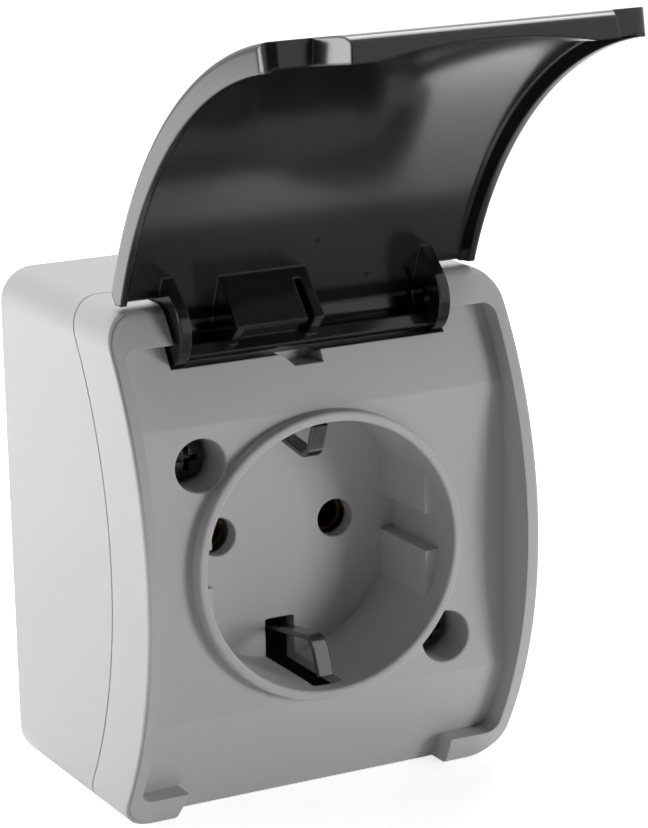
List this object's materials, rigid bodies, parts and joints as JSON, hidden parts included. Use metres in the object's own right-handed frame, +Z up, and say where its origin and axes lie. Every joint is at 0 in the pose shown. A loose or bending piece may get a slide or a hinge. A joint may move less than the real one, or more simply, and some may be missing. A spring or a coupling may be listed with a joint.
{
  "type": "outdoor weatherproof socket",
  "caption": "Surface-mounted splash-proof earthed wall socket with a bowed grey cover and a hinged smoke-black lid.",
  "frame": {"origin": "on the wall plane, behind the centre of the plug well", "axes": "+Y into the wall, -Y out of the front, +Z up, +X to the right seen from the front"},
  "size_m": [0.0616, 0.0886, 0.1167],
  "materials": {
    "housing": "satin light grey moulding",
    "lid": "glossy smoke black moulding",
    "carrier": "matt off-white moulding",
    "seal": "matt black rubber",
    "steel": "zinc plated",
    "brass": "bare brass",
    "clip": "nickel plated spring strip"
  },
  "bodies": {
    "housing": {"back_box": "housing", "box_seal": "seal", "front_cover": "housing", "cover_screws": "steel", "cover_screw_seals": "seal", "cable_seal": "seal", "contact_carrier": "carrier", "carrier_screws": "steel", "live_contact": "brass", "neutral_contact": "brass", "contact_springs": "steel", "earth_strap": "clip", "earth_rivet": "brass", "live_clamp": "steel", "neutral_clamp": "steel", "earth_clamp": "steel", "terminal_screws": "steel"},
    "lid": {"lid": "lid", "hinge_pin_left": "steel", "hinge_pin_right": "steel"}
  },
  "joints": [
    {"name": "lid_hinge", "type": "hinge", "parent": "housing", "child": "lid", "pos_m": [0, -0.03481, 0.0336], "axis": [1, 0, 0], "range_deg": [0, 128]}
  ]
}
